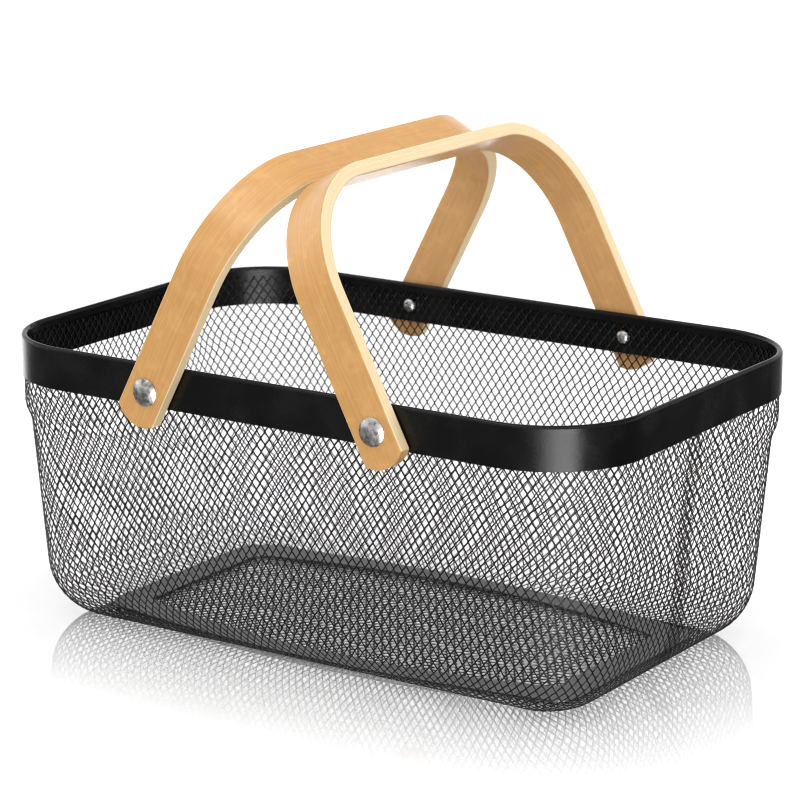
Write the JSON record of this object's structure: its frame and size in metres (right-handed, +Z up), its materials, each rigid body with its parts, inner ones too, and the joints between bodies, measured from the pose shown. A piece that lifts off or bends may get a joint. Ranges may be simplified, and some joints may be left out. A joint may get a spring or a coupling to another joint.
{
  "type": "wire produce basket",
  "caption": "Oblong expanded-metal produce basket with a folded rim band, a flat base ring and a pair of bent-plywood swing handles.",
  "frame": {"origin": "centre of the basket's footprint, on the floor it stands on", "axes": "+X along the long side of the rim, +Y from the front long side to the back one, +Z up"},
  "size_m": [0.385, 0.2682, 0.2724],
  "materials": {
    "black_powder_coat": "gloss black powder coat with a slight orange peel",
    "bare_wire": "drawn steel wire, hidden in the rolled rim",
    "bent_plywood": "honey-coloured satin veneer with pale laminated edges",
    "nickel_plate": "satin nickel plate"
  },
  "bodies": {
    "basket": {"rim_band": "black_powder_coat", "rim_wire": "bare_wire", "side_mesh": "black_powder_coat", "base_mesh": "black_powder_coat", "base_ring": "black_powder_coat", "barrel_nut_front_left": "nickel_plate", "barrel_nut_front_right": "nickel_plate", "barrel_nut_back_left": "nickel_plate", "barrel_nut_back_right": "nickel_plate", "pivot_screw_front_left": "nickel_plate", "pivot_screw_front_right": "nickel_plate", "pivot_screw_back_left": "nickel_plate", "pivot_screw_back_right": "nickel_plate", "spacer_washer_front_left": "nickel_plate", "spacer_washer_front_right": "nickel_plate", "spacer_washer_back_left": "nickel_plate", "spacer_washer_back_right": "nickel_plate"},
    "handle_left": {"handle_left": "bent_plywood"},
    "handle_right": {"handle_right": "bent_plywood"}
  },
  "joints": [
    {"name": "handle_left_swing", "type": "hinge", "parent": "basket", "child": "handle_left", "pos_m": [-0.0722, 0, 0.1487], "axis": [0, -1, 0], "range_deg": [0, 130]},
    {"name": "handle_right_swing", "type": "hinge", "parent": "basket", "child": "handle_right", "pos_m": [0.0722, 0, 0.1487], "axis": [0, 1, 0], "range_deg": [0, 130]}
  ]
}
